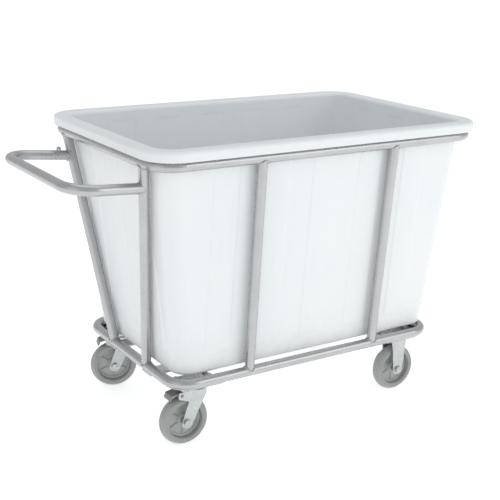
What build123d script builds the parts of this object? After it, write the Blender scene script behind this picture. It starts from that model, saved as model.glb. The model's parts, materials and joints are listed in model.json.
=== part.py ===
from build123d import *
import math
import os

# Laundry cart: a tapered plastic tub that hangs by its rim in a welded tube frame on four casters.
# Frame: +X points away from the push handle, +Y to the pusher's left, +Z up, floor at Z = 0.
# The two casters at the handle end swivel and have brakes; the two at the far end are rigid.
# All sizes are millimetres.

os.makedirs("parts", exist_ok=True)

# ---------------------------------------------------------------- tubes and base
tube_d = 25.0                  # outside diameter of the rings and the handle
post_d = 24.0                  # outside diameter of the posts, a little under the rings'
tube_wall = 1.5
base_half_length = 388.0       # centreline of the base ring
base_half_width = 242.0
base_corner = 55.0             # centreline bend radius
rail_w = 45.0                  # flat rails welded under the base ring
rail_t = 4.0
rail_y = 98.0
rail_past_ring = 6.0           # rail end, past the ring's centreline

# ---------------------------------------------------------------- upper ring and posts
ring_half_length = 454.0       # centreline of the upper ring
ring_half_width = 285.0
ring_corner = 60.0
ring_z = 709.0
end_post_foot_y = 88.0
end_post_top_y = 212.0
side_post_foot_x = 188.0
side_post_top_x = 192.0

# ---------------------------------------------------------------- push handle
handle_past_ring = 167.0       # from the upper ring's centreline to the grip's
grip_half_length = 215.0       # to the meeting point of the grip and arm centrelines
grip_z = 663.0
arm_root_z = 649.0             # height at which the arms meet the end posts
handle_bend = 62.0
stud_d = 11.0
stud_height = 9.0
stud_from_post = 34.0

# ---------------------------------------------------------------- tub
tub_wall = 4.5
tub_floor = 5.0
floor_lift = 0.0               # tub's underside above the top of the base ring
tub_floor_half_width = 226.0
tub_floor_handle_end = 374.0   # middle of the frame to the end wall, handle end
tub_floor_far_end = 392.0
tub_floor_corner = 48.0
tub_floor_fillet = 8.0
ring_gap = 2.0                 # between the tub's wall and the upper ring's inside
tub_top_corner = 47.0
rim_overhang = 19.0            # rim's outside past the upper ring's centreline
rim_side_extra = 4.5           # the rim is that much wider along the sides
rim_height = 24.5
rim_round = 8.0
rim_groove_depth = 12.0        # open groove under the rim, outside the upper ring
rim_lip = 4.0                  # thickness of the down-turned lip outside the groove
rim_seat = 10.0                # flat underside that rests on the ring, past its centreline

# ---------------------------------------------------------------- casters
caster_height = 158.0          # floor to the top face of the top plate
wheel_d = 125.0
tyre_width = 32.0
tyre_t = 17.5                  # tyre's thickness from the hub's rim to the tread
hub_rim_t = 5.0
hub_rim_inset = 2.0            # hub rim edge inside the tyre's side
tread_drop = 8.0               # tread's shoulder below its crown
bead_step = 3.0                # bevel at the tyre's foot
hub_web_t = 6.0
hub_boss_r = 15.0
hub_rib_t = 3.0
hub_ribs = 6
hub_rib_inset = 4.0            # rib edge inside the tyre's side
hub_root = 1.0                 # how far webs and ribs run into the rim and the boss
hub_side_gap = 1.0             # hub end to fork leg
bush_d = 15.0
axle_d = 10.0
running = 0.05                 # radial clearance of a running fit
bolt_clearance = 0.15          # radial clearance round a bolt
leg_t = 3.0
fork_gap = 40.0                # inside width between the legs
leg_top_w = 42.0
leg_foot_w = 30.0
leg_shoulder = 14.0            # straight part of a leg below its top
leg_foot_angle = 11.5          # where the leg's sides leave its round foot, below the axle
rigid_leg_top_w = 46.0
trail = 30.0
caster_x = 312.0               # pivots, from the frame's middle
caster_y = 193.0
plate_t = 4.0
plate_x = 104.0
plate_y = 64.0
plate_corner = 8.0
corner_plate_t = 4.0
corner_plate_x = 128.0
corner_plate_y = 82.0
bolt_span_x = 80.0
bolt_span_y = 40.0
bolt_d = 8.0
bolt_head_af = 13.0
bolt_head_t = 5.3
nut_t = 6.5
bolt_past_nut = 2.0
race_r = 29.0
race_h = 7.0
race_round = 2.5
race_gap = 0.4
crown_r = 31.0
crown_t = 5.0
kingpin_d = 12.0
kingpin_head_r = 10.0
kingpin_head_t = 4.0
axle_head_af = 17.0
axle_head_t = 6.4
axle_nut_t = 8.0
axle_past_nut = 2.0
head_chamfer = 0.8
swivel_heading = {"rear_right": 177.0, "rear_left": 163.0}

# ---------------------------------------------------------------- brake
brake_shaft_d = 8.0
brake_shaft_back = 14.0        # shaft axis, behind the wheel's centre
brake_shaft_over = 7.0         # shaft surface above the tread
brake_shoe_w = 24.0
brake_shoe_gap = 0.3           # shoe to tread with the pedal down
brake_travel = 20.0            # degrees, as in the record's brake joints
brake_shoe_spread = 22.0       # half angle of the shoe's face, seen from the shaft
brake_shaft_past = 1.0         # shaft end, past the outside of the leg
lug_top_inset = 6.0            # lug's upper root, inside the leg's edge
lug_root_inset = 12.0          # lug's lower root, inside the leg's edge
lug_root_drop = 24.0           # lug's lower root, below the shaft
brake_plate_t = 3.0
brake_pedal_w = 34.0
brake_pedal_reach = 40.0
brake_pedal_drop = 9.0
brake_pedal_lean = 4.0         # the toe plate's foot, past its top
brake_pedal_slope = 3.0        # fall of the pedal's top from the shaft to the toe

# ---------------------------------------------------------------- derived places
tube_r = tube_d / 2
post_r = post_d / 2
wheel_r = wheel_d / 2
hub_rim_r = wheel_r - tyre_t
base_z = caster_height + corner_plate_t + tube_r
rim_half_length = ring_half_length + rim_overhang
rim_half_width = ring_half_width + rim_overhang + rim_side_extra
rim_z = ring_z + tube_r
rim_top_z = rim_z + rim_height
floor_z = base_z + tube_r + floor_lift
handle_reach = ring_half_length + handle_past_ring
overall_length = handle_reach + tube_r + rim_half_length
middle_x = overall_length / 2 - rim_half_length    # the frame's middle in the part's frame
leg_y = fork_gap / 2 + leg_t / 2


def level(height):
    """Horizontal plane at a height, centred on the frame's middle."""
    return Plane(origin=(middle_x, 0, height), x_dir=(1, 0, 0), z_dir=(0, 0, 1))


def save(piece, node):
    """Labels one finished piece and writes its STEP file."""
    piece.part.label = node
    export_step(piece.part, "parts/" + node + ".step")


def ring_corners(half_length, half_width, height):
    """Corner points of a ring's centreline."""
    return [
        (middle_x + half_length, half_width, height),
        (middle_x - half_length, half_width, height),
        (middle_x - half_length, -half_width, height),
        (middle_x + half_length, -half_width, height),
    ]


def across(start, end):
    """Plane at start, square to the line from start to end."""
    run = Vector(*end) - Vector(*start)
    return Plane(origin=start, z_dir=run)


def bar(start, end, radius):
    """Solid round bar between two points, used to cope the tubes that meet it."""
    with BuildPart() as round_bar:
        with BuildSketch(across(start, end)):
            Circle(radius)
        extrude(amount=(Vector(*end) - Vector(*start)).length)
    return round_bar


# ---------------------------------------------------------------- frame: the two rings
def bent_ring(half_length, half_width, bend, height):
    """Closed round tube with four bends."""
    with BuildPart() as ring:
        with BuildLine() as path:
            FilletPolyline(*ring_corners(half_length, half_width, height), radius=bend, close=True)
        with BuildSketch(Plane(origin=path.wire() @ 0, z_dir=path.wire() % 0)):
            Circle(tube_r)
            Circle(tube_r - tube_wall, mode=Mode.SUBTRACT)
        sweep(path=path.wire())
    return ring


save(bent_ring(base_half_length, base_half_width, base_corner, base_z), "base_ring")
save(bent_ring(ring_half_length, ring_half_width, ring_corner, ring_z), "upper_ring")


def end_bar(end, half_length, half_width, height):
    """Solid bar where a ring crosses one end of the frame."""
    x = middle_x + end * half_length
    return bar((x, -half_width, height), (x, half_width, height), tube_r)


def side_bar(side, half_length, half_width, height):
    """Solid bar where a ring runs along one side of the frame."""
    y = side * half_width
    return bar((middle_x - half_length, y, height), (middle_x + half_length, y, height), tube_r)


# ---------------------------------------------------------------- frame: rails
rail_half_length = base_half_length + rail_past_ring
for node, side in (("base_rail_right", -1), ("base_rail_left", 1)):
    with BuildPart() as rail:
        with BuildSketch(level(base_z - tube_r)):
            with Locations((0, side * rail_y)):
                Rectangle(2 * rail_half_length, rail_w)
        extrude(amount=-rail_t)
    save(rail, node)


# ---------------------------------------------------------------- frame: posts
def post_line(foot_xy, top_xy):
    """Centreline of a post, from the base ring's centreline to the upper ring's."""
    foot = (middle_x + foot_xy[0], foot_xy[1], base_z)
    top = (middle_x + top_xy[0], top_xy[1], ring_z)
    return foot, top


def post(foot_xy, top_xy, neighbours):
    """Round tube coped to the tubes it meets."""
    foot, top = post_line(foot_xy, top_xy)
    with BuildPart() as tube:
        with BuildSketch(across(foot, top)):
            Circle(post_r)
            Circle(post_r - tube_wall, mode=Mode.SUBTRACT)
        extrude(amount=(Vector(*top) - Vector(*foot)).length)
        for neighbour in neighbours:
            add(neighbour.part, mode=Mode.SUBTRACT)
    return tube


end_posts = {
    "end_post_right": ((-base_half_length, -end_post_foot_y), (-ring_half_length, -end_post_top_y)),
    "end_post_left": ((-base_half_length, end_post_foot_y), (-ring_half_length, end_post_top_y)),
}
side_posts = {
    "side_post_rear_right": ((-side_post_foot_x, -base_half_width), (-side_post_top_x, -ring_half_width)),
    "side_post_front_right": ((side_post_foot_x, -base_half_width), (side_post_top_x, -ring_half_width)),
    "side_post_rear_left": ((-side_post_foot_x, base_half_width), (-side_post_top_x, ring_half_width)),
    "side_post_front_left": ((side_post_foot_x, base_half_width), (side_post_top_x, ring_half_width)),
}
base_end = end_bar(-1, base_half_length, base_half_width, base_z)
upper_end = end_bar(-1, ring_half_length, ring_half_width, ring_z)
for node, (foot_xy, top_xy) in end_posts.items():
    save(post(foot_xy, top_xy, [base_end, upper_end]), node)
for node, (foot_xy, top_xy) in side_posts.items():
    side = 1 if foot_xy[1] > 0 else -1
    base_side = side_bar(side, base_half_length, base_half_width, base_z)
    upper_side = side_bar(side, ring_half_length, ring_half_width, ring_z)
    save(post(foot_xy, top_xy, [base_side, upper_side]), node)

# ---------------------------------------------------------------- frame: corner plates
corners = {
    "rear_right": (-1, -1),
    "rear_left": (-1, 1),
    "front_right": (1, -1),
    "front_left": (1, 1),
}


def bolt_plane(corner, height):
    """Horizontal plane through a caster's centre at a height."""
    end, side = corners[corner]
    centre = (middle_x + end * caster_x, side * caster_y, height)
    return Plane(origin=centre, x_dir=(1, 0, 0), z_dir=(0, 0, 1))


for corner, (end, side) in corners.items():
    plate_mid_x = end * (base_half_length - corner_plate_x / 2) - end * caster_x
    plate_mid_y = side * (base_half_width - corner_plate_y / 2) - side * caster_y
    with BuildPart() as corner_plate:
        with BuildSketch(bolt_plane(corner, caster_height)):
            with Locations((plate_mid_x, plate_mid_y)):
                Rectangle(corner_plate_x, corner_plate_y)
            with GridLocations(bolt_span_x, bolt_span_y, 2, 2):
                Circle(bolt_d / 2 + bolt_clearance, mode=Mode.SUBTRACT)
        extrude(amount=corner_plate_t)
        outer = corner_plate.edges().filter_by(Axis.Z).group_by(Axis.X)[-1 if end > 0 else 0]
        fillet(outer.sort_by(Axis.Y)[-1 if side > 0 else 0], base_corner)
        inner = corner_plate.edges().filter_by(Axis.Z).group_by(Axis.X)[0 if end > 0 else -1]
        fillet(inner.sort_by(Axis.Y)[0 if side > 0 else -1], base_corner / 2)
    save(corner_plate, "corner_plate_" + corner)

# ---------------------------------------------------------------- push handle
def arm_root(side):
    """Point on an end post's centreline where a handle arm meets it."""
    foot, top = post_line(*end_posts["end_post_left" if side > 0 else "end_post_right"])
    share = (arm_root_z - base_z) / (ring_z - base_z)
    return tuple(Vector(*foot) + (Vector(*top) - Vector(*foot)) * share)


handle_x = middle_x - handle_reach
handle_points = [
    arm_root(-1),
    (handle_x, -grip_half_length, grip_z),
    (handle_x, grip_half_length, grip_z),
    arm_root(1),
]
post_bars = [bar(*post_line(*end_posts[node]), post_r) for node in end_posts]
with BuildPart() as push_handle:
    with BuildLine() as handle_path:
        FilletPolyline(*handle_points, radius=handle_bend)
    with BuildSketch(across(handle_points[0], handle_points[1])):
        Circle(tube_r)
        Circle(tube_r - tube_wall, mode=Mode.SUBTRACT)
    sweep(path=handle_path.wire())
    for post_bar in post_bars:
        add(post_bar.part, mode=Mode.SUBTRACT)
    split_off = push_handle.solids().sort_by(SortBy.VOLUME)[:-1]
    add(split_off, mode=Mode.SUBTRACT)
save(push_handle, "push_handle")

# a short domed stud stands on the left arm, close to its post
arm_run = Vector(*handle_points[2]) - Vector(*handle_points[3])
stud_foot = Vector(*handle_points[3]) + arm_run.normalized() * stud_from_post
left_arm = bar(tuple(handle_points[3]), tuple(handle_points[2]), tube_r)
with BuildPart() as handle_stud:
    with BuildSketch(Plane(origin=tuple(stud_foot), z_dir=(0, 0, 1))):
        Circle(stud_d / 2)
    extrude(amount=tube_r + stud_height)
    fillet(handle_stud.faces().sort_by(Axis.Z)[-1].edges(), stud_d / 3)
    add(left_arm.part, mode=Mode.SUBTRACT)
save(handle_stud, "handle_stud")


# ---------------------------------------------------------------- tub
def tub_outline(plane, handle_end, far_end, half_width, corner):
    """Rounded rectangle that may reach further from the middle at one end."""
    with BuildSketch(plane) as outline:
        with Locations(((far_end - handle_end) / 2, 0)):
            RectangleRounded(far_end + handle_end, 2 * half_width, corner)
    return outline


wall_top_length = ring_half_length - tube_r - ring_gap
wall_top_width = ring_half_width - tube_r - ring_gap
floor_outline = tub_outline(
    level(floor_z), tub_floor_handle_end, tub_floor_far_end, tub_floor_half_width, tub_floor_corner
)
neck_outline = tub_outline(level(rim_z), wall_top_length, wall_top_length, wall_top_width, tub_top_corner)
inner_floor_outline = tub_outline(
    level(floor_z + tub_floor),
    tub_floor_handle_end - tub_wall,
    tub_floor_far_end - tub_wall,
    tub_floor_half_width - tub_wall,
    tub_floor_corner - tub_wall,
)
mouth_outline = tub_outline(
    level(rim_top_z + 1),
    wall_top_length - tub_wall,
    wall_top_length - tub_wall,
    wall_top_width - tub_wall,
    tub_top_corner - tub_wall,
)
with BuildPart() as tub:
    loft([floor_outline.sketch, neck_outline.sketch])
    fillet(tub.faces().sort_by(Axis.Z)[0].edges(), tub_floor_fillet)
    with BuildSketch(level(rim_z)):
        RectangleRounded(2 * rim_half_length, 2 * rim_half_width, ring_corner + rim_overhang)
    extrude(amount=rim_height)
    fillet(tub.faces().sort_by(Axis.Z)[-1].edges(), rim_round)
    with BuildSketch(level(rim_z)):
        RectangleRounded(
            2 * (rim_half_length - rim_lip),
            2 * (rim_half_width - rim_lip),
            ring_corner + rim_overhang - rim_lip,
        )
        RectangleRounded(
            2 * (ring_half_length + rim_seat),
            2 * (ring_half_width + rim_seat),
            ring_corner + rim_seat,
            mode=Mode.SUBTRACT,
        )
    extrude(amount=rim_groove_depth, mode=Mode.SUBTRACT)
    loft([inner_floor_outline.sketch, mouth_outline.sketch], mode=Mode.SUBTRACT)
save(tub, "tub")


# ---------------------------------------------------------------- hexagon fasteners
def hexagon_and_shank(plane, af, head_t, shank_r, shank_length):
    """Bolt with its head on the +Z side of the plane and its shank on the other."""
    with BuildPart() as bolt:
        with BuildSketch(plane):
            RegularPolygon(af / 2, 6, major_radius=False)
        extrude(amount=head_t)
        chamfer(bolt.faces().sort_by(plane_axis(plane))[-1].edges(), head_chamfer)
        with BuildSketch(plane):
            Circle(shank_r)
        extrude(amount=-shank_length)
    return bolt


def plane_axis(plane):
    """Axis along a plane's normal."""
    return Axis(plane.origin, plane.z_dir)


def hexagon_nut(plane, af, thickness, bore_r):
    """Nut on the +Z side of the plane."""
    with BuildPart() as nut:
        with BuildSketch(plane):
            RegularPolygon(af / 2, 6, major_radius=False)
            Circle(bore_r, mode=Mode.SUBTRACT)
        extrude(amount=thickness)
    return nut


for corner in corners:
    with BuildPart() as plate_bolts:
        with BuildSketch(bolt_plane(corner, caster_height + corner_plate_t)):
            with GridLocations(bolt_span_x, bolt_span_y, 2, 2):
                RegularPolygon(bolt_head_af / 2, 6, major_radius=False)
        extrude(amount=bolt_head_t)
        chamfer(plate_bolts.faces().sort_by(Axis.Z)[-4:].edges(), head_chamfer)
        with BuildSketch(bolt_plane(corner, caster_height + corner_plate_t)):
            with GridLocations(bolt_span_x, bolt_span_y, 2, 2):
                Circle(bolt_d / 2)
        extrude(amount=-(corner_plate_t + plate_t + nut_t + bolt_past_nut))
    save(plate_bolts, "plate_bolts_" + corner)
    with BuildPart() as plate_nuts:
        with BuildSketch(bolt_plane(corner, caster_height - plate_t)):
            with GridLocations(bolt_span_x, bolt_span_y, 2, 2):
                RegularPolygon(bolt_head_af / 2, 6, major_radius=False)
                Circle(bolt_d / 2, mode=Mode.SUBTRACT)
        extrude(amount=-nut_t)
    save(plate_nuts, "plate_nuts_" + corner)


# ---------------------------------------------------------------- wheels
class CasterFrame:
    """Directions of one caster: back is the way the wheel trails, out is along the axle."""

    def __init__(self, corner, heading, offset):
        end, side = corners[corner]
        self.pivot = Vector(middle_x + end * caster_x, side * caster_y, 0)
        angle = math.radians(heading)
        self.back = Vector(math.cos(angle), math.sin(angle), 0)
        self.out = Vector(self.back.Y, -self.back.X, 0) * -1
        self.wheel = self.pivot + self.back * offset + Vector(0, 0, wheel_r)

    def point(self, back, out, height):
        """Point given by its distance behind the wheel's centre, its side and its height."""
        return self.wheel + self.back * back + self.out * out + Vector(0, 0, height - wheel_r)

    def side_plane(self, out):
        """Upright plane square to the axle: x is backwards, y is up."""
        origin = tuple(self.point(0, out, 0))
        return Plane(origin=origin, x_dir=tuple(self.back), z_dir=tuple(self.back.cross(Vector(0, 0, 1))))

    def axle_axis(self):
        return Axis(tuple(self.wheel), tuple(self.out))

    def radial_plane(self):
        """Upright plane through the axle: x is along the axle, y is up, origin at the wheel's centre."""
        normal = self.out.cross(Vector(0, 0, 1))
        return Plane(origin=tuple(self.wheel), x_dir=tuple(self.out), z_dir=tuple(normal))


def build_wheel(corner, caster):
    """Tyre, ribbed hub, axle bush, axle bolt and nut."""
    half = tyre_width / 2
    hub_half = fork_gap / 2 - hub_side_gap
    with BuildPart() as tyre:
        with BuildSketch(caster.radial_plane()):
            with BuildLine():
                Polyline(
                    (half, wheel_r - tread_drop),
                    (half, hub_rim_r + bead_step),
                    (half - hub_rim_inset, hub_rim_r),
                    (-half + hub_rim_inset, hub_rim_r),
                    (-half, hub_rim_r + bead_step),
                    (-half, wheel_r - tread_drop),
                )
                ThreePointArc((-half, wheel_r - tread_drop), (0, wheel_r), (half, wheel_r - tread_drop))
            make_face()
        revolve(axis=caster.axle_axis())
    save(tyre, "tyre_" + corner)

    rim_inner = hub_rim_r - hub_rim_t
    with BuildPart() as hub:
        with BuildSketch(caster.radial_plane()):
            with Locations((0, (hub_rim_r + rim_inner) / 2)):
                Rectangle(tyre_width - 2 * hub_rim_inset, hub_rim_t)
            with Locations((0, (rim_inner + hub_boss_r) / 2)):
                Rectangle(hub_web_t, rim_inner - hub_boss_r + hub_root)
            with Locations((0, (hub_boss_r + bush_d / 2 + running) / 2)):
                Rectangle(2 * hub_half, hub_boss_r - bush_d / 2 - running)
        revolve(axis=caster.axle_axis())
        with BuildSketch(caster.side_plane(0)):
            with Locations((0, wheel_r)):
                with PolarLocations(0, hub_ribs):
                    with Locations(((hub_boss_r + rim_inner) / 2, 0)):
                        Rectangle(rim_inner - hub_boss_r + 2 * hub_root, hub_rib_t)
        extrude(amount=half - hub_rib_inset, both=True)
    save(hub, "wheel_hub_" + corner)

    with BuildPart() as bush:
        with BuildSketch(caster.radial_plane()):
            with Locations((0, (bush_d / 2 + axle_d / 2 + running) / 2)):
                Rectangle(fork_gap, bush_d / 2 - axle_d / 2 - running)
        revolve(axis=caster.axle_axis())
    save(bush, "axle_bush_" + corner)

    head_plane = Plane(origin=tuple(caster.point(0, fork_gap / 2 + leg_t, wheel_r)), z_dir=tuple(caster.out))
    shank = fork_gap + 2 * leg_t + axle_nut_t + axle_past_nut
    axle_bolt = hexagon_and_shank(head_plane, axle_head_af, axle_head_t, axle_d / 2, shank)
    save(axle_bolt, "axle_bolt_" + corner)
    nut_plane = Plane(
        origin=tuple(caster.point(0, -fork_gap / 2 - leg_t, wheel_r)), z_dir=tuple(caster.out * -1)
    )
    save(hexagon_nut(nut_plane, axle_head_af, axle_nut_t, axle_d / 2), "axle_nut_" + corner)


# ---------------------------------------------------------------- swivel casters
def leg_outline(plane, top_x, top_w, top_z):
    """Side view of a fork leg: wide at the top, round at the axle."""
    foot_r = leg_foot_w / 2
    foot_x = foot_r * math.cos(math.radians(leg_foot_angle))
    foot_z = wheel_r - foot_r * math.sin(math.radians(leg_foot_angle))
    with BuildSketch(plane) as outline:
        with BuildLine():
            Polyline(
                (foot_x, foot_z),
                (top_x + top_w / 2, top_z - leg_shoulder),
                (top_x + top_w / 2, top_z),
                (top_x - top_w / 2, top_z),
                (top_x - top_w / 2, top_z - leg_shoulder),
                (-foot_x, foot_z),
            )
            ThreePointArc((-foot_x, foot_z), (0, wheel_r - foot_r), (foot_x, foot_z))
        make_face()
        with Locations((0, wheel_r)):
            Circle(axle_d / 2 + bolt_clearance, mode=Mode.SUBTRACT)
    return outline


plate_under = caster_height - plate_t
race_under = plate_under - race_h
crown_top = race_under - race_gap
crown_under = crown_top - crown_t
shaft_reach = wheel_r + brake_shaft_over + brake_shaft_d / 2
brake_shaft_z = wheel_r + math.sqrt(shaft_reach**2 - brake_shaft_back**2)
pedal_under = brake_shaft_z + brake_shaft_d / 2
pedal_end_z = pedal_under - brake_pedal_slope
toe_z = pedal_end_z - brake_pedal_drop - brake_plate_t


def shoe_point(spread):
    """Point on the brake shoe's face, at an angle from the face's middle, with the pedal up."""
    reach = brake_shaft_over + brake_shaft_d / 2 - brake_shoe_gap
    to_wheel = math.atan2(wheel_r - brake_shaft_z, -brake_shaft_back)
    angle = to_wheel + math.radians(brake_travel + spread)
    return brake_shaft_back + reach * math.cos(angle), brake_shaft_z + reach * math.sin(angle)


def build_swivel(corner, heading):
    """Top plate, race, kingpin, fork and brake of a swivel caster."""
    caster = CasterFrame(corner, heading, trail)

    with BuildPart() as top_plate:
        with BuildSketch(bolt_plane(corner, plate_under)):
            RectangleRounded(plate_x, plate_y, plate_corner)
            with GridLocations(bolt_span_x, bolt_span_y, 2, 2):
                Circle(bolt_d / 2 + bolt_clearance, mode=Mode.SUBTRACT)
            Circle(kingpin_d / 2, mode=Mode.SUBTRACT)
        extrude(amount=plate_t)
    save(top_plate, "top_plate_" + corner)

    with BuildPart() as race:
        with BuildSketch(bolt_plane(corner, race_under)):
            Circle(race_r)
            Circle(kingpin_d / 2, mode=Mode.SUBTRACT)
        extrude(amount=race_h)
        outer_edges = race.edges().filter_by(GeomType.CIRCLE).sort_by(SortBy.RADIUS)[-2:]
        fillet(outer_edges.sort_by(Axis.Z)[0], race_round)
    save(race, "swivel_race_" + corner)

    with BuildPart() as kingpin:
        with BuildSketch(bolt_plane(corner, crown_under - race_gap)):
            Circle(kingpin_head_r)
        extrude(amount=-kingpin_head_t)
        with BuildSketch(bolt_plane(corner, crown_under - race_gap)):
            Circle(kingpin_d / 2)
        extrude(amount=caster_height - crown_under + race_gap)
    save(kingpin, "kingpin_" + corner)

    with BuildPart() as fork:
        with BuildSketch(bolt_plane(corner, crown_under)):
            Circle(crown_r)
        extrude(amount=crown_t)
        for out in (-1, 1):
            leg = leg_outline(caster.side_plane(out * leg_y), -trail, leg_top_w, crown_top)
            extrude(leg.sketch, amount=leg_t / 2, both=True)
        with BuildSketch(Plane(origin=tuple(caster.point(-trail, 0, crown_under)), x_dir=tuple(caster.back))):
            Rectangle(leg_top_w, fork_gap + 2 * leg_t)
        extrude(amount=crown_t)
        with BuildSketch(bolt_plane(corner, crown_under)):
            Circle(kingpin_d / 2 + running)
        extrude(amount=crown_t, mode=Mode.SUBTRACT)
        # lugs that carry the brake shaft, one on each leg
        for out in (-1, 1):
            with BuildSketch(caster.side_plane(out * leg_y)):
                with BuildLine():
                    Polyline(
                        (-trail + leg_top_w / 2 - lug_top_inset, crown_top),
                        (brake_shaft_back + brake_shaft_d, brake_shaft_z + brake_shaft_d),
                        (brake_shaft_back + brake_shaft_d, brake_shaft_z - brake_shaft_d),
                        (-trail + leg_top_w / 2 - lug_root_inset, brake_shaft_z - lug_root_drop),
                        close=True,
                    )
                make_face()
            extrude(amount=leg_t / 2, both=True)
        for out in (-1, 1):
            with BuildSketch(caster.side_plane(out * leg_y)):
                with Locations((brake_shaft_back, brake_shaft_z)):
                    Circle(brake_shaft_d / 2 + running)
            extrude(amount=leg_t / 2, both=True, mode=Mode.SUBTRACT)
    save(fork, "fork_" + corner)

    # brake: a shaft between the lugs, a shoe just clear of the tread and a pedal behind the wheel
    with BuildPart() as brake:
        with BuildSketch(caster.side_plane(0)):
            with Locations((brake_shaft_back, brake_shaft_z)):
                Circle(brake_shaft_d / 2)
        extrude(amount=fork_gap / 2 + leg_t + brake_shaft_past, both=True)
        with BuildSketch(caster.side_plane(0)):
            with Locations((brake_shaft_back, brake_shaft_z)):
                Circle(brake_shaft_d / 2 + brake_plate_t)
            with BuildLine():
                Polyline(
                    (brake_shaft_back, pedal_under + brake_plate_t),
                    (brake_pedal_reach, pedal_end_z),
                    (brake_pedal_reach + brake_pedal_lean, toe_z),
                    (brake_pedal_reach + brake_pedal_lean - brake_plate_t, toe_z),
                    (brake_pedal_reach - brake_plate_t, pedal_end_z - brake_plate_t),
                    (brake_shaft_back, pedal_under),
                    close=True,
                )
            make_face()
        extrude(amount=brake_pedal_w / 2, both=True)
        with BuildSketch(caster.side_plane(0)):
            with BuildLine():
                Line((brake_shaft_back, brake_shaft_z), shoe_point(-brake_shoe_spread))
                ThreePointArc(shoe_point(-brake_shoe_spread), shoe_point(0), shoe_point(brake_shoe_spread))
                Line(shoe_point(brake_shoe_spread), (brake_shaft_back, brake_shaft_z))
            make_face()
        extrude(amount=brake_shoe_w / 2, both=True)
    save(brake, "brake_pedal_" + corner)
    build_wheel(corner, caster)


# ---------------------------------------------------------------- rigid casters
def build_rigid(corner, heading):
    """Bracket with its top plate in one piece, straight down to the axle."""
    caster = CasterFrame(corner, heading, 0)
    with BuildPart() as bracket:
        with BuildSketch(bolt_plane(corner, plate_under)):
            RectangleRounded(plate_x, plate_y, plate_corner)
            with GridLocations(bolt_span_x, bolt_span_y, 2, 2):
                Circle(bolt_d / 2 + bolt_clearance, mode=Mode.SUBTRACT)
        extrude(amount=plate_t)
        for out in (-1, 1):
            leg = leg_outline(caster.side_plane(out * leg_y), 0, rigid_leg_top_w, plate_under + plate_t / 2)
            extrude(leg.sketch, amount=leg_t / 2, both=True)
    save(bracket, "rigid_bracket_" + corner)
    build_wheel(corner, caster)


for corner, heading in swivel_heading.items():
    build_swivel(corner, heading)
for corner in ("front_right", "front_left"):
    build_rigid(corner, 180.0)
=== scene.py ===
import bmesh
import bpy
import json
import math
from mathutils import Matrix, Vector

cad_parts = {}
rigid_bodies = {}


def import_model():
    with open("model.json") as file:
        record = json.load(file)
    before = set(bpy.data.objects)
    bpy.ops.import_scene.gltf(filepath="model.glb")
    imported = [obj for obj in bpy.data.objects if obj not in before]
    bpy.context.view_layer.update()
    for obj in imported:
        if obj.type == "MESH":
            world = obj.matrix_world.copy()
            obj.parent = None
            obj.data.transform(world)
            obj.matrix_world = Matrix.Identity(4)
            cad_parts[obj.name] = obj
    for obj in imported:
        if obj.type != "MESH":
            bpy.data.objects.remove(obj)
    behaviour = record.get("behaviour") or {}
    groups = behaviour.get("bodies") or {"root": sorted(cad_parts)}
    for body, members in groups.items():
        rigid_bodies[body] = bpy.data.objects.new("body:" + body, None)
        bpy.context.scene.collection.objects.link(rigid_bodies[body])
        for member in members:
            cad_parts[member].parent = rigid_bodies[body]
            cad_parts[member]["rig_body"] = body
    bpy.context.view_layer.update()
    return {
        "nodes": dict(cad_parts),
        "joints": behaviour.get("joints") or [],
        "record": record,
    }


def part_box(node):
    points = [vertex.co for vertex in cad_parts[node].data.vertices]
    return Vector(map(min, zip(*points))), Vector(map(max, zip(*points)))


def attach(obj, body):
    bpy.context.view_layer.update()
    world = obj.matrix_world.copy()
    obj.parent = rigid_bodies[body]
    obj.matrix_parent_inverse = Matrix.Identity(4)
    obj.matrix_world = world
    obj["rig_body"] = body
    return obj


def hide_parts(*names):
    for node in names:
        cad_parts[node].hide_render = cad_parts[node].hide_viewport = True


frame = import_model()

# Laundry cart: a moulded tub with a rolled rim in a welded tube frame on four casters.
# Metres. +X points away from the push handle, +Y to the pusher's left, +Z up.

# ---------------------------------------------------------------- places taken from the frame
tub_low, tub_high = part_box("tub")
upper_low, upper_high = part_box("upper_ring")
base_low, base_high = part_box("base_ring")
middle_x = (upper_low.x + upper_high.x) / 2
tube_r = (upper_high.z - upper_low.z) / 2
post_r = 0.012
upper_half = Vector(((upper_high.x - upper_low.x) / 2 - tube_r, upper_high.y - tube_r, 0))
base_half = Vector(((base_high.x - base_low.x) / 2 - tube_r, base_high.y - tube_r, 0))
upper_z = (upper_low.z + upper_high.z) / 2
base_z = (base_low.z + base_high.z) / 2

# ---------------------------------------------------------------- sizes of the tub's moulding
ring_gap = 0.002
neck_half_x = upper_half.x - tube_r - ring_gap
neck_half_y = upper_half.y - tube_r - ring_gap
neck_corner = 0.047
floor_handle_end = 0.374
floor_far_end = 0.392
floor_half_y = 0.226
floor_corner = 0.048
floor_fillet = 0.008
rim_half_x = (tub_high.x - tub_low.x) / 2
rim_half_y = (tub_high.y - tub_low.y) / 2
rim_corner = 0.079
rim_under = upper_high.z
rim_top = tub_high.z
rim_lip = 0.004
rim_seat = 0.010
groove_depth = 0.012
ring_corner = 0.060
rim_round = 0.008
mouth_round = 0.010
rim_fall = 0.0005
wall = 0.0052
rib_depth = 0.0018
rib_slope = 0.0045
rib_low = 0.232
rib_high = 0.716
rib_half = 0.036
rib_pitch = 0.136
inner_rib_depth = rib_depth * 0.7
skin_edge = 0.0016             # rounding of the tub's edges
corner_steps = 8
arc_steps = 8

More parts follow.
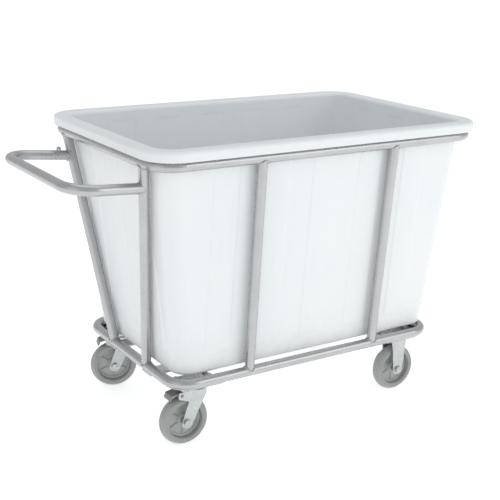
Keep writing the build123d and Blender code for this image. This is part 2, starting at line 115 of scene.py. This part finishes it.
# ---------------------------------------------------------------- sizes of the casters
wheel_r = 0.0625
tyre_half = 0.016
hub_r = 0.045
hub_rim_t = 0.005
boss_r = 0.015
boss_half = 0.019
hub_ribs = 6
hub_rib_t = 0.0030
hub_rib_height = 0.0236
hub_rib_round = 0.0007
hub_web_half = 0.0086          # half of the web's thickness
wheel_sides = 96
tread_drop = 0.008             # tread's shoulder below its crown
tread_steps = 9
moulded_edge = 0.0004          # rounding of the edges on tyres and hubs

# ---------------------------------------------------------------- sizes of the handle and the welds
grip_half_length = 0.215
grip_z = 0.663
arm_root_z = 0.649
bead_r = 0.0028
bead_lift = 0.0004             # bead's centreline outside the post
bead_ripple = bead_r * 0.22
bead_columns = 72

CORNERS = ("rear_right", "rear_left", "front_right", "front_left")


# ---------------------------------------------------------------- bench: picking and shaping
def start(name):
    """Takes the primitive that was just added into edit mode, with nothing picked."""
    piece = bpy.context.object
    piece.name = name
    piece.data.name = name
    bpy.ops.object.mode_set(mode="EDIT")
    bpy.context.tool_settings.mesh_select_mode = [True, False, False]
    bpy.ops.mesh.select_all(action="DESELECT")
    return piece


def pick(piece, kind, test):
    """Picks the vertices, edges or faces that pass the test, and nothing else."""
    bpy.context.tool_settings.mesh_select_mode = [kind == k for k in ("verts", "edges", "faces")]
    bpy.ops.mesh.select_all(action="DESELECT")
    mesh = bmesh.from_edit_mesh(piece.data)
    for element in getattr(mesh, kind):
        element.select_set(bool(test(element)))
    mesh.select_flush_mode()
    bmesh.update_edit_mesh(piece.data)


def clear():
    """Leaves edit mode and selects nothing."""
    if bpy.context.object and bpy.context.object.mode == "EDIT":
        bpy.ops.object.mode_set(mode="OBJECT")
    bpy.ops.object.select_all(action="DESELECT")


def alone(piece):
    """Makes one piece the only selected and active one."""
    clear()
    piece.select_set(True)
    bpy.context.view_layer.objects.active = piece


def modify(piece, kind, **settings):
    """Adds a modifier with its settings and applies it."""
    alone(piece)
    modifier = piece.modifiers.new(kind.title(), kind)
    for name, value in settings.items():
        setattr(modifier, name, value)
    bpy.ops.object.modifier_apply(modifier=modifier.name)


def smooth(piece, degrees=30):
    """Smooth shading, with sharp edges past an angle."""
    alone(piece)
    bpy.ops.object.shade_smooth_by_angle(angle=math.radians(degrees))


def outward(piece):
    """Merges doubled points and turns every face outwards."""
    alone(piece)
    bpy.ops.object.mode_set(mode="EDIT")
    bpy.ops.mesh.select_all(action="SELECT")
    bpy.ops.mesh.remove_doubles(threshold=1e-6)
    bpy.ops.mesh.normals_make_consistent(inside=False)
    bpy.ops.object.mode_set(mode="OBJECT")


def placed_copy(model, name, matrix):
    """Copy of a modelled piece with its own mesh, put in place with its object at the origin."""
    piece = bpy.data.objects.new(name, model.data.copy())
    bpy.context.scene.collection.objects.link(piece)
    piece.matrix_world = matrix
    alone(piece)
    bpy.ops.object.transform_apply(location=True, rotation=True, scale=True)
    return piece


def facing(z_axis, x_hint, place):
    """Matrix that stands a piece along an axis, with its X towards a hint."""
    z_axis = z_axis.normalized()
    x_axis = (x_hint - z_axis * x_hint.dot(z_axis)).normalized()
    y_axis = z_axis.cross(x_axis)
    turned_axes = Matrix((x_axis, y_axis, z_axis)).transposed().to_4x4()
    return Matrix.Translation(place) @ turned_axes


def discard(model):
    """Removes a model once its copies are made."""
    bpy.data.objects.remove(model)


def install(piece, body, slot, material, *nodes):
    """Finishes a piece: its material, the body it moves with and the nodes it stands for. The slot argument
    is not used.
    """
    piece.data.materials.clear()
    piece.data.materials.append(material)
    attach(piece, body)
    if nodes:
        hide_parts(*nodes)


# ---------------------------------------------------------------- finishes: shader maths
class Value:
    """A number that varies over a surface. Arithmetic on it adds Math nodes."""

    def __init__(self, finish, socket):
        self.finish = finish
        self.socket = socket

    def maths(self, operation, first, second):
        return self.finish.node("ShaderNodeMath", {"operation": operation}, {0: first, 1: second})

    def __add__(self, other):
        return self.maths("ADD", self, other)

    def __radd__(self, other):
        return self.maths("ADD", other, self)

    def __sub__(self, other):
        return self.maths("SUBTRACT", self, other)

    def __rsub__(self, other):
        return self.maths("SUBTRACT", other, self)

    def __mul__(self, other):
        return self.maths("MULTIPLY", self, other)

    def __rmul__(self, other):
        return self.maths("MULTIPLY", other, self)


class Finish:
    """A material whose nodes are made one at a time."""

    def __init__(self, name):
        self.material = bpy.data.materials.new(name)
        self.material.use_nodes = True
        self.tree = self.material.node_tree
        self.shader = self.tree.nodes["Principled BSDF"]
        self.place = self.node("ShaderNodeTexCoord", {}, {}, "Object")

    def node(self, kind, settings, inputs, output=0):
        """Makes one node: its settings first, then the values or links of its sockets."""
        made = self.tree.nodes.new(kind)
        for name, value in settings.items():
            setattr(made, name, value)
        for name, value in inputs.items():
            self.feed(made.inputs[name], value)
        return Value(self, made.outputs[output])

    def feed(self, socket, value):
        """Links a value to a socket, or sets the socket to a plain number or colour."""
        if isinstance(value, Value):
            self.tree.links.new(value.socket, socket)
        else:
            socket.default_value = value

    def surface(self, **inputs):
        """Sets the shader's sockets, whose spaces are written as underscores."""
        for name, value in inputs.items():
            self.feed(self.shader.inputs[name.replace("_", " ")], value)

    def stretched(self, scale):
        """Object coordinates scaled along each axis."""
        return self.node("ShaderNodeMapping", {}, {"Vector": self.place, "Scale": scale})

    def noise(self, scale, detail=3.0, roughness=0.5, where=None):
        """Cloudy pattern from 0 to 1."""
        inputs = {"Vector": where or self.place, "Scale": scale, "Detail": detail, "Roughness": roughness}
        return self.node("ShaderNodeTexNoise", {}, inputs)

    def cells(self, scale, where=None):
        """Distance to the nearest of scattered points."""
        return self.node("ShaderNodeTexVoronoi", {}, {"Vector": where or self.place, "Scale": scale})

    def ramp(self, value, low, high):
        """0 below low, 1 above high and even between them."""
        inputs = {"Value": value, "From Min": low, "From Max": high}
        return self.node("ShaderNodeMapRange", {"clamp": True}, inputs)

    def height(self):
        """Height above the floor."""
        return self.node("ShaderNodeSeparateXYZ", {}, {0: self.place}, "Z")

    def blend(self, share, first, second):
        """Colour between two colours."""
        inputs = {0: share, 6: first, 7: second}
        return self.node("ShaderNodeMix", {"data_type": "RGBA"}, inputs, 2)

    def bump(self, height, strength, distance, under=None):
        """Normal from a height pattern, over an earlier bump if there is one."""
        inputs = {"Height": height, "Strength": strength, "Distance": distance}
        if under:
            inputs["Normal"] = under
        return self.node("ShaderNodeBump", {}, inputs)


def colour(red, green, blue):
    """Colour with full opacity."""
    return (red, green, blue, 1.0)


def tub_finish():
    """White polyethylene: orange-peel skin, fine grain, scuffs and a little grime low down."""
    f = Finish("tub_polyethylene")
    clouds = f.ramp(f.noise(2.2, 4.0), 0.3, 0.7)
    tone = f.blend(clouds, colour(0.83, 0.86, 0.87), colour(0.87, 0.88, 0.875))
    streaks = f.noise(9.0, 5.0, 0.6, f.stretched((6.0, 6.0, 0.7)))
    tone = f.blend(f.ramp(streaks, 0.56, 0.8) * 0.22, tone, colour(0.74, 0.75, 0.73))
    low_grime = (1.0 - f.ramp(f.height(), 0.19, 0.3)) * f.ramp(f.noise(14.0, 6.0, 0.7), 0.42, 0.75)
    tone = f.blend(low_grime * 0.35, tone, colour(0.60, 0.59, 0.55))
    scuffs = f.ramp(f.noise(38.0, 6.0, 0.75, f.stretched((0.5, 0.5, 4.0))), 0.62, 0.72)
    rim_scuffs = scuffs * f.ramp(f.height(), rim_under - 0.004, rim_under + 0.01)
    tone = f.blend(rim_scuffs * 0.4, tone, colour(0.66, 0.66, 0.64))
    peel = f.bump(f.noise(130.0, 2.0), 0.12, 0.0006)
    grain = f.bump(f.noise(1400.0, 3.0, 0.7), 0.16, 0.0002, peel)
    waves = f.bump(f.noise(7.0, 2.0), 0.35, 0.003, grain)
    f.surface(Base_Color=tone, Roughness=0.36 + f.noise(24.0, 4.0) * 0.16 + scuffs * 0.12, Normal=waves)
    f.surface(Subsurface_Weight=0.12, Subsurface_Radius=(1.0, 1.0, 1.0), Subsurface_Scale=0.004)
    return f.material


def frame_finish():
    """Silver-grey satin paint on tube: fine orange peel, light scratches, dulled patches."""
    f = Finish("frame_silver_paint")
    patches = f.ramp(f.noise(16.0, 5.0, 0.6), 0.3, 0.75)
    tone = f.blend(patches, colour(0.45, 0.45, 0.455), colour(0.52, 0.52, 0.522))
    scratch_noise = f.noise(60.0, 3.0, 0.6, f.stretched((1.0, 1.0, 9.0)))
    scratches = f.ramp(scratch_noise, 0.66, 0.7)
    tone = f.blend(scratches * 0.5, tone, colour(0.52, 0.52, 0.52))
    specks = 1.0 - f.ramp(f.cells(190.0), 0.05, 0.16)
    tone = f.blend(specks * 0.35, tone, colour(0.24, 0.23, 0.22))
    peel = f.bump(f.noise(420.0, 2.0), 0.1, 0.0004)
    skin = f.bump(f.noise(2600.0, 2.0), 0.1, 0.0001, peel)
    f.surface(Base_Color=tone, Metallic=0.85, Roughness=0.24 + patches * 0.1 + scratches * 0.12, Normal=skin)
    f.surface(Coat_Weight=0.25, Coat_Roughness=0.2)
    return f.material


def zinc_finish(name, light, dark, rough):
    """Bright zinc plate: cloudy spangle, fine rolling lines and dull spots."""
    f = Finish(name)
    spangle = f.node("ShaderNodeTexVoronoi", {}, {"Vector": f.place, "Scale": 210.0}, "Color")
    shade = f.node("ShaderNodeSeparateColor", {}, {0: spangle})
    tone = f.blend(shade * 0.5 + f.noise(30.0, 5.0) * 0.5, dark, light)
    dull = f.ramp(f.noise(55.0, 6.0, 0.7), 0.55, 0.75)
    tone = f.blend(dull * 0.45, tone, colour(0.36, 0.36, 0.34))
    lines = f.bump(f.noise(900.0, 2.0, 0.5, f.stretched((1.0, 1.0, 0.06))), 0.12, 0.0001)
    f.surface(Base_Color=tone, Metallic=0.85, Roughness=rough + dull * 0.22, Normal=lines)
    return f.material


def brake_finish():
    """Dark pressed steel with rubbed edges and road dust."""
    f = Finish("brake_dark_steel")
    dust = f.ramp(f.noise(45.0, 6.0, 0.7), 0.4, 0.72)
    tone = f.blend(dust * 0.7, colour(0.24, 0.235, 0.22), colour(0.40, 0.385, 0.36))
    f.surface(Base_Color=tone, Metallic=0.35, Roughness=0.42 + dust * 0.3)
    f.surface(Normal=f.bump(f.noise(700.0, 3.0), 0.25, 0.0002))
    return f.material


def hub_finish():
    """Moulded light grey nylon, faintly mottled."""
    f = Finish("hub_grey_nylon")
    mottle = f.ramp(f.noise(60.0, 5.0, 0.6), 0.3, 0.75)
    tone = f.blend(mottle, colour(0.47, 0.49, 0.48), colour(0.55, 0.57, 0.56))
    skin = f.bump(f.noise(1500.0, 2.0), 0.2, 0.0001)
    f.surface(Base_Color=tone, Roughness=0.38 + mottle * 0.2, Normal=skin)
    return f.material


def tyre_finish():
    """Grey rubber, dusty and rubbed on the tread."""
    f = Finish("tyre_grey_rubber")
    dust = f.ramp(f.noise(90.0, 6.0, 0.7), 0.35, 0.75)
    tone = f.blend(dust, colour(0.33, 0.335, 0.325), colour(0.42, 0.425, 0.41))
    grit = f.ramp(f.noise(420.0, 4.0, 0.7), 0.6, 0.75)
    tone = f.blend(grit * 0.4, tone, colour(0.16, 0.16, 0.155))
    skin = f.bump(f.noise(1100.0, 4.0, 0.7), 0.3, 0.0003)
    f.surface(Base_Color=tone, Roughness=0.55 + dust * 0.2, Normal=skin)
    return f.material


def floor_finish():
    """Plain pale studio floor with a faint unevenness."""
    f = Finish("studio_floor")
    tone = f.blend(f.noise(1.3, 3.0), colour(0.93, 0.93, 0.93), colour(0.96, 0.96, 0.955))
    f.surface(Base_Color=tone, Roughness=0.7, Emission_Color=colour(1.0, 1.0, 1.0), Emission_Strength=0.5)
    return f.material


finishes = {
    "tub_plastic": tub_finish(),
    "frame_paint": frame_finish(),
    "caster_zinc": zinc_finish("caster_zinc_plate", colour(0.60, 0.62, 0.62), colour(0.46, 0.48, 0.48), 0.3),
    "bolt_zinc": zinc_finish("bolt_zinc_plate", colour(0.62, 0.62, 0.60), colour(0.42, 0.42, 0.40), 0.26),
    "brake_steel": brake_finish(),
    "hub_plastic": hub_finish(),
    "tyre_grey": tyre_finish(),
}

# ---------------------------------------------------------------- the frame's own nodes
slots = {part["node"]: part["material_slot"] for part in frame["record"]["subparts"]}
for node, piece in frame["nodes"].items():
    piece.data.materials.clear()
    piece.data.materials.append(finishes[slots[node]])


# ---------------------------------------------------------------- tub
def add_outline(height, low_x, high_x, half_width, corner):
    """Adds one rounded rectangle in edit mode."""
    centre = Vector((middle_x + (low_x + high_x) / 2, 0, height))
    bpy.ops.mesh.select_all(action="DESELECT")
    bpy.ops.mesh.primitive_plane_add(size=1, location=centre)
    bpy.ops.transform.resize(value=(high_x - low_x, 2 * half_width, 1), center_override=centre)
    bpy.ops.mesh.bevel(offset=corner, segments=corner_steps, affect="VERTICES", profile=0.5)


def wall_outline(height, inset):
    """The tapered wall's outline at a height, moved inwards by an inset."""
    share = min((height - tub_low.z) / (rim_under - tub_low.z), 1.0)
    low_x = -floor_handle_end + (floor_handle_end - neck_half_x) * share
    high_x = floor_far_end + (neck_half_x - floor_far_end) * share
    half = floor_half_y + (neck_half_y - floor_half_y) * share
    corner = floor_corner + (neck_corner - floor_corner) * share
    return height, low_x + inset, high_x - inset, half - inset, corner - inset


def rim_outline(height, inset):
    """The rim's outline at a height, moved inwards by an inset."""
    half_x = rim_half_x - inset
    return height, -half_x, half_x, rim_half_y - inset, rim_corner - inset


def seat_outline(height, past):
    """Outline that runs past the upper ring's centreline by a distance."""
    half_x = upper_half.x + past
    return height, -half_x, half_x, upper_half.y + past, ring_corner + past


def quarter(steps):
    """Sines and cosines over a quarter turn."""
    for step in range(steps + 1):
        angle = math.pi / 2 * step / steps
        yield math.sin(angle), math.cos(angle)


def tub_section():
    """Outlines of the tub's skin, from the underside of the floor over the rim to the inside floor."""
    outlines = []
    for sine, cosine in quarter(arc_steps):
        inset = rib_depth + floor_fillet * (1 - sine)
        outlines.append(wall_outline(tub_low.z + floor_fillet * (1 - cosine), inset))
    outlines.append(wall_outline(rib_low, rib_depth))
    outlines.append(wall_outline(rib_high, rib_depth))
    outlines.append(wall_outline(rim_under - rim_fall, rib_depth))
    outlines.append(seat_outline(rim_under, rim_seat))
    outlines.append(seat_outline(rim_under + groove_depth, rim_seat))
    outlines.append(rim_outline(rim_under + groove_depth - rim_fall, rim_lip))
    outlines.append(rim_outline(rim_under + rim_fall, rim_lip))
    outlines.append(rim_outline(rim_under, 0.0))
    for sine, cosine in quarter(arc_steps):
        outlines.append(rim_outline(rim_top - rim_round * (1 - sine), rim_round * (1 - cosine)))
    for sine, cosine in quarter(arc_steps):
        height = rim_top - rim_fall - mouth_round * (1 - cosine)
        outlines.append(wall_outline(height, wall - mouth_round * (1 - sine)))
    outlines.append(wall_outline(rib_high, wall))
    outlines.append(wall_outline(rib_low, wall))
    inside_floor = tub_low.z + wall
    for sine, cosine in quarter(arc_steps):
        inset = wall + floor_fillet * (1 - cosine)
        outlines.append(wall_outline(inside_floor + floor_fillet * (1 - sine), inset))
    return outlines


def rib_spans(half_room):
    """Middles of the ribs that fit on a wall."""
    count = int((half_room - rib_half) / rib_pitch)
    return [rib_pitch * n for n in range(-count, count + 1)]


def raise_ribs(tub, axis, across, middles, depth, side):
    """Cuts two opposite walls at the ribs' edges and raises the ribs on one side of the skin."""
    centre = Vector((middle_x, 0, 0))

    def on_wall(face):
        place = face.calc_center_median() - centre
        away = face.normal.dot(across) * place.dot(across)
        between = rib_low < place.z < rib_high
        return between and abs(face.normal.dot(across)) > 0.9 and away * side > 0

    for middle in middles:
        for edge in (-rib_half, rib_half):
            pick(tub, "faces", on_wall)
            bpy.ops.mesh.bisect(plane_co=centre + axis * (middle + edge), plane_no=axis)
    pick(
        tub,
        "faces",
        lambda face: on_wall(face)
        and any(abs((face.calc_center_median() - centre).dot(axis) - m) < rib_half for m in middles),
    )
    bpy.ops.mesh.inset(thickness=rib_slope, depth=depth)


def build_tub():
    """Lofts the tub's skin through its outlines, raises its ribs and softens its edges."""
    clear()
    bpy.ops.mesh.primitive_plane_add(size=1, location=(0, 0, 0))
    tub = start("tub_moulding")
    bpy.ops.mesh.select_all(action="SELECT")
    bpy.ops.mesh.delete(type="VERT")
    outlines = tub_section()
    for outline in outlines:
        add_outline(*outline)
    bpy.ops.mesh.select_all(action="SELECT")
    bpy.ops.mesh.delete(type="ONLY_FACE")
    count = len(bmesh.from_edit_mesh(tub.data).verts) // len(outlines)
    for first in range(0, count * (len(outlines) - 1), count):
        pick(tub, "edges", lambda edge: all(first <= v.index < first + 2 * count for v in edge.verts))
        bpy.ops.mesh.bridge_edge_loops()
    last = count * (len(outlines) - 1)
    for first in (0, last):
        pick(tub, "edges", lambda edge: all(first <= v.index < first + count for v in edge.verts))
        bpy.ops.mesh.edge_face_add()
    bpy.ops.mesh.select_all(action="SELECT")
    bpy.ops.mesh.normals_make_consistent(inside=False)
    long_ribs = rib_spans(floor_handle_end - floor_corner)
    end_ribs = rib_spans(floor_half_y - floor_corner)
    along, across = Vector((1, 0, 0)), Vector((0, 1, 0))
    for side, depth in ((1, rib_depth), (-1, -inner_rib_depth)):
        raise_ribs(tub, along, across, long_ribs, depth, side)
        raise_ribs(tub, across, along, end_ribs, depth, side)
    clear()
    modify(tub, "BEVEL", width=skin_edge, segments=3, limit_method="ANGLE", angle_limit=math.radians(13))
    smooth(tub, 40)
    modify(tub, "WEIGHTED_NORMAL", keep_sharp=True)
    install(tub, "tub", "tub_plastic", finishes["tub_plastic"], "tub")


build_tub()


# ---------------------------------------------------------------- pressed and cut steel with its edges eased
def ease_edges(node, width):
    """Stands in for a node with a merged copy whose edges are rounded over."""
    source = frame["nodes"][node]
    piece = bpy.data.objects.new(node + "_eased", source.data.copy())
    bpy.context.scene.collection.objects.link(piece)
    alone(piece)
    bpy.ops.mesh.customdata_custom_splitnormals_clear()
    bpy.ops.object.mode_set(mode="EDIT")
    bpy.ops.mesh.select_all(action="SELECT")
    bpy.ops.mesh.remove_doubles(threshold=2e-6)
    bpy.ops.mesh.dissolve_limited(angle_limit=math.radians(0.6))
    bpy.ops.object.mode_set(mode="OBJECT")
    modify(piece, "BEVEL", width=width, segments=2, limit_method="ANGLE", angle_limit=math.radians(35))
    smooth(piece, 35)
    modify(piece, "WEIGHTED_NORMAL", keep_sharp=True)
    install(piece, source["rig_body"], slots[node], finishes[slots[node]], node)


eased = {
    "fork_": 0.0007,
    "rigid_bracket_": 0.0007,
    "top_plate_": 0.0008,
    "corner_plate_": 0.0007,
    "base_rail_": 0.0008,
    "brake_pedal_": 0.0006,
    "plate_bolts_": 0.0004,
    "plate_nuts_": 0.0004,
    "axle_bolt_": 0.0005,
    "axle_nut_": 0.0005,
    "swivel_race_": 0.0005,
    "kingpin_": 0.0005,
    "axle_bush_": 0.0003,
}
for node in sorted(frame["nodes"]):
    for prefix, width in eased.items():
        if node.startswith(prefix):
            ease_edges(node, width)


# ---------------------------------------------------------------- wheels
def turned(name, profile):
    """Round piece about Z: a circle extruded from ring to ring and closed on itself."""
    radius, height = profile[0]
    clear()
    bpy.ops.mesh.primitive_circle_add(vertices=wheel_sides, radius=radius, location=(0, 0, height))
    piece = start(name)
    bpy.ops.mesh.select_all(action="SELECT")
    for next_radius, next_height in profile[1:] + profile[:1]:
        bpy.ops.mesh.extrude_region_move(TRANSFORM_OT_translate={"value": (0, 0, next_height - height)})
        grow = next_radius / radius
        bpy.ops.transform.resize(value=(grow, grow, 1), center_override=(0, 0, next_height))
        radius, height = next_radius, next_height
    clear()
    outward(piece)
    return piece


def both_sides(half):
    """Closed profile from its upper half."""
    return half + [(radius, -height) for radius, height in reversed(half)]


def model_tyre():
    """Moulded tyre: crowned tread, a step and a round groove in each side, bevelled bead."""
    crown_r = (tyre_half**2 + tread_drop**2) / (2 * tread_drop)
    steep = math.asin(tyre_half / crown_r)
    tread = []
    for step in range(tread_steps + 1):
        angle = steep * (step + 0.25) / (tread_steps + 0.25)
        tread.append((wheel_r - crown_r * (1 - math.cos(angle)), crown_r * math.sin(angle)))
    side = [
        (hub_r + 0.0078, tyre_half),
        (hub_r + 0.0070, tyre_half - 0.0010),
        (hub_r + 0.0056, tyre_half - 0.0010),
        (hub_r + 0.0048, tyre_half),
        (hub_r + 0.0028, tyre_half),
        (hub_r + 0.0006, tyre_half - 0.0020),
        (hub_r, tyre_half - 0.0026),
    ]
    tyre = turned("tyre_model", both_sides(tread + side))
    modify(tyre, "BEVEL", width=moulded_edge, segments=2, limit_method="ANGLE", angle_limit=math.radians(24))
    smooth(tyre, 40)
    return tyre


def model_hub():
    """Moulded hub: rim with a lip, dished web, six ribs through it and a stepped boss."""
    half = [
        (hub_r, 0.0135),
        (hub_r - 0.0004, 0.0145),
        (hub_r - 0.0022, 0.0148),
        (hub_r - hub_rim_t + 0.0010, 0.0146),
        (hub_r - hub_rim_t, 0.0136),
        (hub_r - hub_rim_t - 0.0006, 0.0098),
        (hub_r - hub_rim_t - 0.0018, hub_web_half),
        (boss_r + 0.0030, hub_web_half),
        (boss_r + 0.0010, 0.0110),
        (boss_r, boss_half - 0.0020),
        (boss_r - 0.0012, boss_half),
        (boss_r - 0.0050, boss_half),
        (boss_r - 0.0056, boss_half - 0.0010),
        (boss_r - 0.0072, boss_half - 0.0010),
    ]
    hub = turned("hub_model", both_sides(half))
    alone(hub)
    bpy.ops.object.mode_set(mode="EDIT")
    middle = (boss_r + hub_r - hub_rim_t) / 2
    length = hub_r - hub_rim_t - boss_r + 0.002
    for rib in range(hub_ribs):
        bpy.ops.mesh.select_all(action="DESELECT")
        bpy.ops.mesh.primitive_cube_add(size=1, location=(middle, 0, 0))
        bpy.ops.transform.resize(value=(length, hub_rib_t, hub_rib_height), center_override=(middle, 0, 0))
        bpy.ops.mesh.bevel(offset=hub_rib_round, segments=2, affect="EDGES")
        bpy.ops.mesh.select_linked()
        turn = 2 * math.pi * rib / hub_ribs
        bpy.ops.transform.rotate(value=turn, orient_axis="Z", center_override=(0, 0, 0))
    clear()
    modify(hub, "BEVEL", width=moulded_edge, segments=2, limit_method="ANGLE", angle_limit=math.radians(30))
    smooth(hub, 35)
    return hub


spins = {joint["name"]: joint for joint in frame["joints"]}
tyre_model = model_tyre()
hub_model = model_hub()
for corner in CORNERS:
    spin = spins[corner + "_wheel_spin"]
    stand = facing(Vector(spin["axis"]), Vector((0, 0, 1)), Vector(spin["pos_m"]))
    tyre = placed_copy(tyre_model, "tyre_moulded_" + corner, stand)
    install(tyre, "wheel_" + corner, "tyre_grey", finishes["tyre_grey"], "tyre_" + corner)
    hub = placed_copy(hub_model, "hub_moulded_" + corner, stand)
    install(hub, "wheel_" + corner, "hub_plastic", finishes["hub_plastic"], "wheel_hub_" + corner)
discard(tyre_model)
discard(hub_model)


# ---------------------------------------------------------------- weld beads
def model_bead():
    """Rippled bead round a post where it saddles a tube that runs along X."""
    clear()
    bpy.ops.mesh.primitive_torus_add(
        major_segments=bead_columns, minor_segments=8, major_radius=post_r + bead_lift, minor_radius=bead_r
    )
    bead = start("bead_model")
    for column in range(bead_columns):
        angle = 2 * math.pi * column / bead_columns
        direction = Vector((math.cos(angle), math.sin(angle), 0))
        rise = math.sqrt(tube_r**2 - (post_r * direction.y) ** 2)
        pick(bead, "verts", lambda v: Vector((v.co.x, v.co.y, 0)).normalized().dot(direction) > 0.9999)
        if column % 3 == 0:
            bpy.ops.transform.shrink_fatten(value=bead_ripple)
        bpy.ops.transform.translate(value=(0, 0, rise))
    clear()
    modify(bead, "SUBSURF", levels=1, render_levels=1)
    smooth(bead, 60)
    return bead


def post_ends(node, end_post):
    """Foot and top of a post's centreline, on the two rings' centrelines."""
    low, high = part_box(node)
    side = 1 if low.y > 0 else -1
    if end_post:
        near = min(abs(low.y), abs(high.y)) + post_r
        far = max(abs(low.y), abs(high.y)) - post_r
        foot = Vector((middle_x - base_half.x, side * near, base_z))
        return foot, Vector((middle_x - upper_half.x, side * far, upper_z))
    end = 1 if low.x > middle_x else -1
    near = min(abs(low.x - middle_x), abs(high.x - middle_x)) + post_r
    far = max(abs(low.x - middle_x), abs(high.x - middle_x)) - post_r
    foot = Vector((middle_x + end * near, side * base_half.y, base_z))
    return foot, Vector((middle_x + end * far, side * upper_half.y, upper_z))


bead_model = model_bead()
for node in sorted(frame["nodes"]):
    if "_post_" not in node:
        continue
    at_end = node.startswith("end_post")
    foot, top = post_ends(node, at_end)
    along_tube = Vector((0, 1, 0)) if at_end else Vector((1, 0, 0))
    joints = {"foot": facing(top - foot, along_tube, foot), "top": facing(foot - top, along_tube, top)}
    if at_end:
        root = foot + (top - foot) * ((arm_root_z - base_z) / (upper_z - base_z))
        side = 1 if foot.y > 0 else -1
        grip_corner = Vector((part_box("push_handle")[0].x + tube_r, side * grip_half_length, grip_z))
        joints["arm"] = facing(grip_corner - root, top - foot, root)
    for joint, stand in joints.items():
        bead = placed_copy(bead_model, "weld_" + joint + "_" + node, stand)
        install(bead, "frame", "frame_paint", finishes["frame_paint"])
discard(bead_model)

# ---------------------------------------------------------------- stage, lights and camera
clear()
bpy.ops.mesh.primitive_plane_add(size=90, location=(0, 0, 0))
floor = bpy.context.object
floor.name = "studio_floor"
floor.data.materials.append(floor_finish())

world = bpy.data.worlds.new("studio")
bpy.context.scene.world = world
world.use_nodes = True
world.node_tree.nodes["Background"].inputs["Color"].default_value = colour(0.95, 0.975, 1.0)
world.node_tree.nodes["Background"].inputs["Strength"].default_value = 0.62


def soft_light(name, place, aim, size, power, tint):
    """Square soft box turned towards a point."""
    data = bpy.data.lights.new(name, "AREA")
    data.size = size
    data.energy = power
    data.color = tint
    light = bpy.data.objects.new(name, data)
    bpy.context.scene.collection.objects.link(light)
    light.location = place
    light.rotation_euler = (Vector(aim) - Vector(place)).to_track_quat("-Z", "Y").to_euler()


heart = (middle_x, 0.0, 0.4)
soft_light("key_box", (1.9, -3.0, 1.7), heart, 2.2, 20.0, (1.0, 0.99, 0.975))
soft_light("top_box", (0.3, 0.4, 3.4), heart, 2.6, 14.0, (0.95, 0.98, 1.0))
soft_light("fill_box", (-3.0, -1.0, 1.6), heart, 2.0, 4.0, (1.0, 0.985, 0.96))

camera_place = Vector((-1.3692, -2.1866, 1.1840))
camera_heading = math.radians(-32.86)
camera_fall = math.radians(16.87)
camera_roll = math.radians(1.3)
camera_data = bpy.data.cameras.new("camera")
camera_data.lens = 74.47
camera_data.sensor_width = 36.0
camera = bpy.data.objects.new("camera", camera_data)
bpy.context.scene.collection.objects.link(camera)
turn = Matrix.Rotation(camera_heading, 4, "Z")
tilt = Matrix.Rotation(math.pi / 2 - camera_fall, 4, "X")
roll = Matrix.Rotation(camera_roll, 4, "Z")
camera.matrix_world = Matrix.Translation(camera_place) @ turn @ tilt @ roll
bpy.context.scene.camera = camera
bpy.context.scene.view_settings.view_transform = "Standard"
